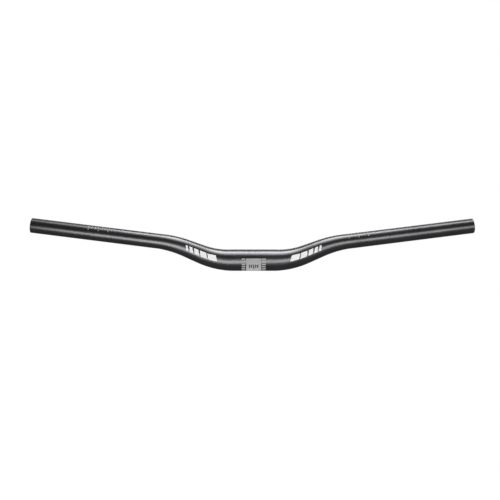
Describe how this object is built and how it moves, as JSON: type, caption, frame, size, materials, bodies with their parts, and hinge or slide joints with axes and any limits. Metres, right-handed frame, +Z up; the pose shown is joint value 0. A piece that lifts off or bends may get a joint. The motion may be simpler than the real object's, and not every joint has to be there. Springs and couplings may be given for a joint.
{
  "type": "mountain bike handlebar",
  "caption": "One-piece riser handlebar: a tapered, butted aluminium tube with a straight clamp middle, a bend up and a bend back on each side, and open grip ends.",
  "frame": {"origin": "centre of the stem clamp, on the bar's axis at the middle of its width", "axes": "+X along the clamp and the bar's width, +Y back towards the rider, +Z up the rise"},
  "size_m": [0.6638, 0.0603, 0.0716],
  "materials": {
    "black_anodised": "satin black anodised aluminium",
    "white_print": "screen-printed white ink",
    "grey_print": "screen-printed silver-grey ink"
  },
  "bodies": {
    "root": {"handlebar": "black_anodised"}
  },
  "joints": []
}
